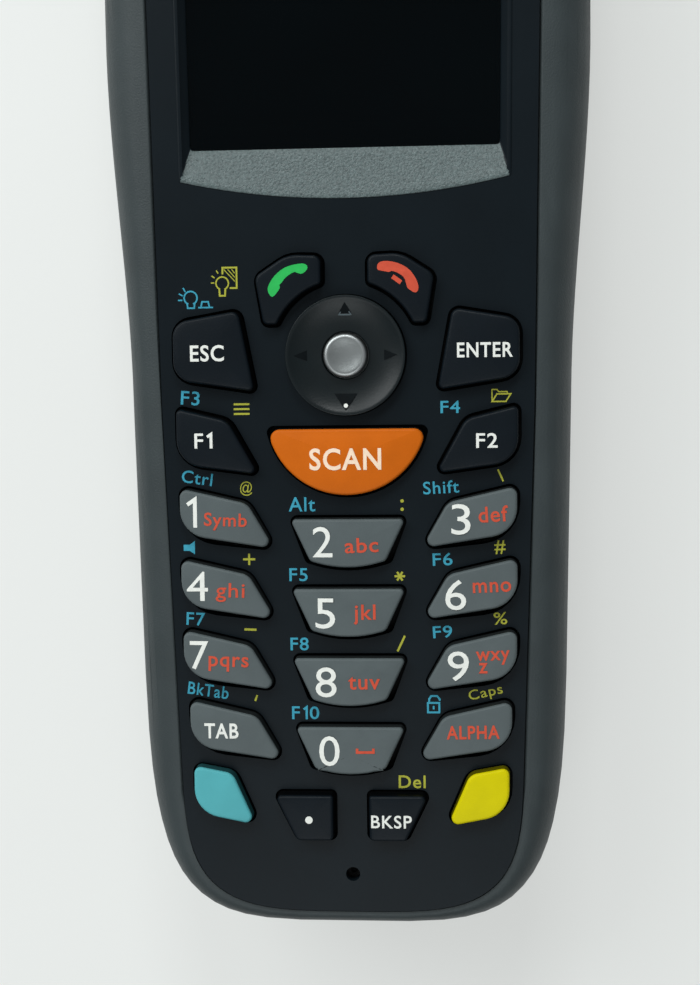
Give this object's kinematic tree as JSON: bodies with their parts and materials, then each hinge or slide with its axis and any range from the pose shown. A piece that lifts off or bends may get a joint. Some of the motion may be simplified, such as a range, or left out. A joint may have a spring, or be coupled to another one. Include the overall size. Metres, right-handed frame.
{
  "type": "portable barcode data terminal",
  "caption": "Bar-type hand terminal with a display, sprung keypad, tilting navigation ring, side scan keys, scanner end and a hinged battery cover in the back.",
  "frame": {"origin": "middle of the underside (the flat back) of the overall box", "axes": "+X to the right seen from the front, +Y towards the scanner end, +Z out of the front panel"},
  "size_m": [0.0568, 0.15, 0.0288],
  "materials": {
    "grey_housing": "fine-textured moulded plastic",
    "black_panel": "smooth satin panel",
    "black_rubber": "soft seal",
    "grey_bezel": "fine-textured moulded frame",
    "window_glass": "clear glass with a printed black border",
    "display_panel": "unlit display with a metal frame",
    "dome_mat": "silicone mat",
    "board_green": "solder-masked circuit board",
    "steel_shell": "formed sheet can",
    "black_moulding": "moulded component",
    "cream_moulding": "moulded connector",
    "clear_guide": "frosted light guide",
    "lens_glass": "coated lens",
    "red_window": "red filter window",
    "gold_contact": "gold-plated",
    "battery_case": "wrapped pack",
    "screw_steel": "zinc-plated cross-head",
    "grey_cover": "fine-textured moulded cover",
    "ring_grey": "satin ring",
    "button_silver": "satin metallised",
    "side_key_grey": "soft-touch key",
    "key_orange": "satin key",
    "key_blue": "satin key",
    "key_yellow": "satin key",
    "key_black": "satin key",
    "key_grey": "satin key",
    "print_white": "printed legend",
    "print_red": "printed legend",
    "print_green": "printed legend",
    "print_blue": "printed legend",
    "print_lime": "printed legend"
  },
  "bodies": {
    "housing": {"rear_housing": "grey_housing", "front_housing": "black_panel", "panel_seal": "black_rubber", "display_bezel": "grey_bezel", "display_window": "window_glass", "lcd_module": "display_panel", "keypad_mat": "dome_mat", "keypad_board": "board_green", "main_board": "board_green", "memory_card_slot": "steel_shell", "backup_battery": "steel_shell", "radio_shield": "steel_shell", "side_switches": "black_moulding", "keypad_connector": "cream_moulding", "microphone": "steel_shell", "earpiece": "black_moulding", "indicator_light_guides": "clear_guide", "scan_engine": "black_moulding", "scan_lens": "lens_glass", "scan_window": "red_window", "speaker": "black_moulding", "vibration_motor": "steel_shell", "aerial": "gold_contact", "battery_pack": "battery_case", "battery_contacts": "gold_contact", "dock_connector": "black_moulding", "dock_contacts": "gold_contact", "housing_screws": "screw_steel"},
    "battery_cover": {"battery_cover": "grey_cover"},
    "navigation_carrier": {"navigation_carrier": "black_moulding"},
    "navigation_ring": {"navigation_ring": "ring_grey"},
    "navigation_button": {"navigation_button": "button_silver"},
    "side_key_left": {"side_key_left": "side_key_grey"},
    "side_key_right": {"side_key_right": "side_key_grey"},
    "key_call": {"key_call": "key_black"},
    "key_end": {"key_end": "key_black"},
    "key_escape": {"key_escape": "key_black"},
    "key_enter": {"key_enter": "key_black"},
    "key_f1": {"key_f1": "key_black"},
    "key_f2": {"key_f2": "key_black"},
    "key_scan": {"key_scan": "key_orange"},
    "key_1": {"key_1": "key_grey"},
    "key_3": {"key_3": "key_grey"},
    "key_4": {"key_4": "key_grey"},
    "key_6": {"key_6": "key_grey"},
    "key_7": {"key_7": "key_grey"},
    "key_9": {"key_9": "key_grey"},
    "key_tab": {"key_tab": "key_grey"},
    "key_alpha": {"key_alpha": "key_grey"},
    "key_2": {"key_2": "key_grey"},
    "key_5": {"key_5": "key_grey"},
    "key_8": {"key_8": "key_grey"},
    "key_0": {"key_0": "key_grey"},
    "key_blue": {"key_blue": "key_blue"},
    "key_yellow": {"key_yellow": "key_yellow"},
    "key_dot": {"key_dot": "key_black"},
    "key_backspace": {"key_backspace": "key_black"}
  },
  "joints": [
    {"name": "press_call", "type": "slide", "parent": "housing", "child": "key_call", "axis": [0, 0, -1], "range_m": [0, 0.0005], "stiffness_N_per_m": 200},
    {"name": "press_end", "type": "slide", "parent": "housing", "child": "key_end", "axis": [0, 0, -1], "range_m": [0, 0.0005], "stiffness_N_per_m": 200},
    {"name": "press_escape", "type": "slide", "parent": "housing", "child": "key_escape", "axis": [0, 0, -1], "range_m": [0, 0.0005], "stiffness_N_per_m": 200},
    {"name": "press_enter", "type": "slide", "parent": "housing", "child": "key_enter", "axis": [0, 0, -1], "range_m": [0, 0.0005], "stiffness_N_per_m": 200},
    {"name": "press_f1", "type": "slide", "parent": "housing", "child": "key_f1", "axis": [0, 0, -1], "range_m": [0, 0.0005], "stiffness_N_per_m": 200},
    {"name": "press_f2", "type": "slide", "parent": "housing", "child": "key_f2", "axis": [0, 0, -1], "range_m": [0, 0.0005], "stiffness_N_per_m": 200},
    {"name": "press_scan", "type": "slide", "parent": "housing", "child": "key_scan", "axis": [0, 0, -1], "range_m": [0, 0.0005], "stiffness_N_per_m": 200},
    {"name": "press_1", "type": "slide", "parent": "housing", "child": "key_1", "axis": [0, 0, -1], "range_m": [0, 0.0005], "stiffness_N_per_m": 200},
    {"name": "press_3", "type": "slide", "parent": "housing", "child": "key_3", "axis": [0, 0, -1], "range_m": [0, 0.0005], "stiffness_N_per_m": 200},
    {"name": "press_4", "type": "slide", "parent": "housing", "child": "key_4", "axis": [0, 0, -1], "range_m": [0, 0.0005], "stiffness_N_per_m": 200},
    {"name": "press_6", "type": "slide", "parent": "housing", "child": "key_6", "axis": [0, 0, -1], "range_m": [0, 0.0005], "stiffness_N_per_m": 200},
    {"name": "press_7", "type": "slide", "parent": "housing", "child": "key_7", "axis": [0, 0, -1], "range_m": [0, 0.0005], "stiffness_N_per_m": 200},
    {"name": "press_9", "type": "slide", "parent": "housing", "child": "key_9", "axis": [0, 0, -1], "range_m": [0, 0.0005], "stiffness_N_per_m": 200},
    {"name": "press_tab", "type": "slide", "parent": "housing", "child": "key_tab", "axis": [0, 0, -1], "range_m": [0, 0.0005], "stiffness_N_per_m": 200},
    {"name": "press_alpha", "type": "slide", "parent": "housing", "child": "key_alpha", "axis": [0, 0, -1], "range_m": [0, 0.0005], "stiffness_N_per_m": 200},
    {"name": "press_2", "type": "slide", "parent": "housing", "child": "key_2", "axis": [0, 0, -1], "range_m": [0, 0.0005], "stiffness_N_per_m": 200},
    {"name": "press_5", "type": "slide", "parent": "housing", "child": "key_5", "axis": [0, 0, -1], "range_m": [0, 0.0005], "stiffness_N_per_m": 200},
    {"name": "press_8", "type": "slide", "parent": "housing", "child": "key_8", "axis": [0, 0, -1], "range_m": [0, 0.0005], "stiffness_N_per_m": 200},
    {"name": "press_0", "type": "slide", "parent": "housing", "child": "key_0", "axis": [0, 0, -1], "range_m": [0, 0.0005], "stiffness_N_per_m": 200},
    {"name": "press_blue", "type": "slide", "parent": "housing", "child": "key_blue", "axis": [0, 0, -1], "range_m": [0, 0.0005], "stiffness_N_per_m": 200},
    {"name": "press_yellow", "type": "slide", "parent": "housing", "child": "key_yellow", "axis": [0, 0, -1], "range_m": [0, 0.0005], "stiffness_N_per_m": 200},
    {"name": "press_dot", "type": "slide", "parent": "housing", "child": "key_dot", "axis": [0, 0, -1], "range_m": [0, 0.0005], "stiffness_N_per_m": 200},
    {"name": "press_backspace", "type": "slide", "parent": "housing", "child": "key_backspace", "axis": [0, 0, -1], "range_m": [0, 0.0005], "stiffness_N_per_m": 200},
    {"name": "tilt_up_down", "type": "hinge", "parent": "housing", "child": "navigation_carrier", "pos_m": [0, -0.00845, 0.02402], "axis": [1, 0, 0], "range_deg": [-2, 2], "stiffness_Nm_per_rad": 0.02},
    {"name": "tilt_left_right", "type": "hinge", "parent": "navigation_carrier", "child": "navigation_ring", "pos_m": [0, -0.00845, 0.02402], "axis": [0, 1, 0], "range_deg": [-2, 2], "stiffness_Nm_per_rad": 0.02},
    {"name": "press_button", "type": "slide", "parent": "housing", "child": "navigation_button", "axis": [0, 0, -1], "range_m": [0, 0.0005], "stiffness_N_per_m": 200},
    {"name": "press_side_left", "type": "slide", "parent": "housing", "child": "side_key_left", "axis": [1, 0, 0], "range_m": [0, 0.0004], "stiffness_N_per_m": 300},
    {"name": "press_side_right", "type": "slide", "parent": "housing", "child": "side_key_right", "axis": [-1, 0, 0], "range_m": [0, 0.0004], "stiffness_N_per_m": 300},
    {"name": "battery_cover_hinge", "type": "hinge", "parent": "housing", "child": "battery_cover", "pos_m": [0, -0.061, 0.00165], "axis": [-1, 0, 0], "range_deg": [0, 90]}
  ]
}
